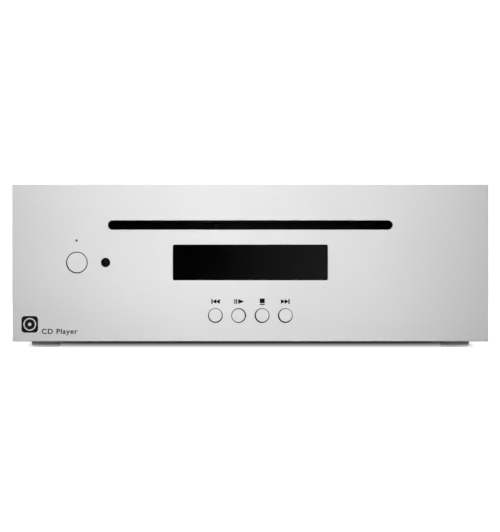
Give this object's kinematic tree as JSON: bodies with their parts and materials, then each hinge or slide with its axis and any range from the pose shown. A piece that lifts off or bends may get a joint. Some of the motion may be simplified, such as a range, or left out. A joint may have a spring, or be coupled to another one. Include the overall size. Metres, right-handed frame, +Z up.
{
  "type": "cd player",
  "caption": "Compact slot-loading disc player in an aluminium-fronted case, with a display, push buttons, a motorised drive inside and sockets at the back.",
  "frame": {"origin": "middle of the rectangle that bounds the player seen from above, on the surface that its feet stand on", "axes": "+X to the right seen from the front, +Y from the front to the back, +Z up"},
  "size_m": [0.206, 0.2, 0.071],
  "materials": {
    "panel_aluminium": "bead-blasted and silver-anodised",
    "button_aluminium": "turned and silver-anodised",
    "cover_paint": "fine-textured silver powder coat on steel sheet",
    "rear_paint": "satin silver paint on steel sheet",
    "plated_steel": "zinc-plated steel sheet",
    "bright_steel": "ground steel",
    "screw_steel": "black-oxide steel",
    "smoked_window": "polished smoked acrylic",
    "light_pipe": "clear acrylic",
    "black_plastic": "fine-textured black moulding",
    "white_plastic": "natural acetal",
    "felt": "black felt",
    "rubber": "moulded black rubber",
    "circuit_board": "green solder mask on glass-fibre laminate with soldered parts",
    "gold_plate": "gold-plated brass shell on a black block",
    "ribbon": "white polyester flat cable"
  },
  "bodies": {
    "housing": {"front_panel": "panel_aluminium", "top_cover": "cover_paint", "rear_panel": "rear_paint", "base_chassis": "plated_steel", "drive_frame": "plated_steel", "drive_roof": "plated_steel", "spindle_motor": "bright_steel", "sled_motor": "bright_steel", "guide_rod_left": "bright_steel", "guide_rod_right": "bright_steel", "cover_screw_left_front": "screw_steel", "cover_screw_left_rear": "screw_steel", "cover_screw_right_front": "screw_steel", "cover_screw_right_rear": "screw_steel", "display_window": "smoked_window", "sensor_window": "smoked_window", "led_light_pipe": "light_pipe", "display_module": "black_plastic", "slot_liner": "black_plastic", "pickup_frame": "black_plastic", "optical_socket": "black_plastic", "trigger_jack": "black_plastic", "power_inlet": "black_plastic", "slot_felt": "felt", "foot_front_left": "rubber", "foot_rear_left": "rubber", "foot_front_right": "rubber", "foot_rear_right": "rubber", "damper_front_left": "rubber", "damper_rear_left": "rubber", "damper_front_right": "rubber", "damper_rear_right": "rubber", "front_board": "circuit_board", "main_board": "circuit_board", "rca_socket_left": "gold_plate", "rca_socket_right": "gold_plate", "digital_coax_socket": "gold_plate", "display_ribbon": "ribbon", "drive_ribbon": "ribbon"},
    "power_button": {"power_button": "button_aluminium"},
    "previous_button": {"previous_button": "button_aluminium"},
    "play_pause_button": {"play_pause_button": "button_aluminium"},
    "stop_eject_button": {"stop_eject_button": "button_aluminium"},
    "next_button": {"next_button": "button_aluminium"},
    "roller_unit": {"roller_bracket": "plated_steel", "loading_motor": "bright_steel"},
    "roller": {"feed_roller": "rubber", "roller_shaft": "bright_steel"},
    "loading_gear": {"loading_gear": "white_plastic"},
    "loading_pinion": {"loading_pinion": "white_plastic"},
    "mode_slider": {"mode_slider": "plated_steel"},
    "clamp_arm": {"clamp_arm": "plated_steel"},
    "clamp_puck": {"clamp_puck": "black_plastic"},
    "turntable": {"turntable": "black_plastic"},
    "pickup_sled": {"pickup_sled": "black_plastic"},
    "lens_holder": {"lens_holder": "black_plastic"},
    "sled_gear": {"sled_gear": "white_plastic"},
    "sled_pinion": {"sled_pinion": "white_plastic"},
    "sensing_lever": {"sensing_lever": "white_plastic"},
    "optical_shutter": {"optical_shutter": "black_plastic"}
  },
  "joints": [
    {"name": "power_button_press", "type": "slide", "parent": "housing", "child": "power_button", "axis": [0, 1, 0], "range_m": [0, 0.0006], "stiffness_N_per_m": 1500, "springref_m": -0.0003},
    {"name": "previous_button_press", "type": "slide", "parent": "housing", "child": "previous_button", "axis": [0, 1, 0], "range_m": [0, 0.0006], "stiffness_N_per_m": 1500, "springref_m": -0.0003},
    {"name": "play_pause_button_press", "type": "slide", "parent": "housing", "child": "play_pause_button", "axis": [0, 1, 0], "range_m": [0, 0.0006], "stiffness_N_per_m": 1500, "springref_m": -0.0003},
    {"name": "stop_eject_button_press", "type": "slide", "parent": "housing", "child": "stop_eject_button", "axis": [0, 1, 0], "range_m": [0, 0.0006], "stiffness_N_per_m": 1500, "springref_m": -0.0003},
    {"name": "next_button_press", "type": "slide", "parent": "housing", "child": "next_button", "axis": [0, 1, 0], "range_m": [0, 0.0006], "stiffness_N_per_m": 1500, "springref_m": -0.0003},
    {"name": "roller_lift", "type": "hinge", "parent": "housing", "child": "roller_unit", "pos_m": [0, -0.0485, 0.042], "axis": [-1, 0, 0], "range_deg": [0, 14]},
    {"name": "roller_spin", "type": "hinge", "parent": "roller_unit", "child": "roller", "pos_m": [0, -0.072, 0.0439], "axis": [1, 0, 0], "continuous": true},
    {"name": "loading_gear_spin", "type": "hinge", "parent": "roller_unit", "child": "loading_gear", "pos_m": [0.0662, -0.07005, 0.0345], "axis": [1, 0, 0], "continuous": true},
    {"name": "loading_pinion_spin", "type": "hinge", "parent": "roller_unit", "child": "loading_pinion", "pos_m": [0.0708, -0.057, 0.039], "axis": [1, 0, 0], "continuous": true},
    {"name": "mode_slide", "type": "slide", "parent": "housing", "child": "mode_slider", "axis": [0, 1, 0], "range_m": [0, 0.008]},
    {"name": "clamp_lower", "type": "hinge", "parent": "housing", "child": "clamp_arm", "pos_m": [0, 0.056, 0.059], "axis": [1, 0, 0], "range_deg": [0, 4.6]},
    {"name": "clamp_puck_spin", "type": "hinge", "parent": "clamp_arm", "child": "clamp_puck", "pos_m": [0, -0.02574, 0.06558], "axis": [0, 0.0802, 0.9968], "continuous": true},
    {"name": "turntable_spin", "type": "hinge", "parent": "housing", "child": "turntable", "pos_m": [0, -0.026, 0.0494], "axis": [0, 0, 1], "continuous": true},
    {"name": "sled_travel", "type": "slide", "parent": "housing", "child": "pickup_sled", "axis": [0, 1, 0], "range_m": [0, 0.034]},
    {"name": "sled_gear_spin", "type": "hinge", "parent": "housing", "child": "sled_gear", "pos_m": [0.0332, 0.0235, 0.0455], "axis": [0, 0, 1], "range_deg": [-470, 5]},
    {"name": "sled_pinion_spin", "type": "hinge", "parent": "housing", "child": "sled_pinion", "pos_m": [0.04024, 0.03674, 0.0455], "axis": [0, 0, 1], "range_deg": [-5, 1200]},
    {"name": "lens_focus", "type": "slide", "parent": "pickup_sled", "child": "lens_holder", "axis": [0, 0, 1], "range_m": [-0.0006, 0.0006], "stiffness_N_per_m": 49, "springref_m": 0.00015},
    {"name": "sensing_lever_swing", "type": "hinge", "parent": "housing", "child": "sensing_lever", "pos_m": [-0.06, 0.05, 0.0472], "axis": [0, 0, 1], "range_deg": [0, 9], "stiffness_Nm_per_rad": 0.004, "springref_deg": -11.46},
    {"name": "optical_shutter_open", "type": "hinge", "parent": "housing", "child": "optical_shutter", "pos_m": [0.004, 0.0945, 0.02845], "axis": [-1, 0, 0], "range_deg": [0, 80], "stiffness_Nm_per_rad": 0.0005, "springref_deg": -22.92}
  ],
  "couplings": [
    {"joint": "loading_gear_spin", "follows": "roller_spin", "ratio": -1.2857},
    {"joint": "loading_pinion_spin", "follows": "roller_spin", "ratio": 2.9388},
    {"joint": "clamp_lower", "follows": "mode_slide", "rad_per_m": 10.03},
    {"joint": "sled_gear_spin", "follows": "sled_travel", "rad_per_m": -238.1},
    {"joint": "sled_pinion_spin", "follows": "sled_travel", "rad_per_m": 612.24}
  ]
}
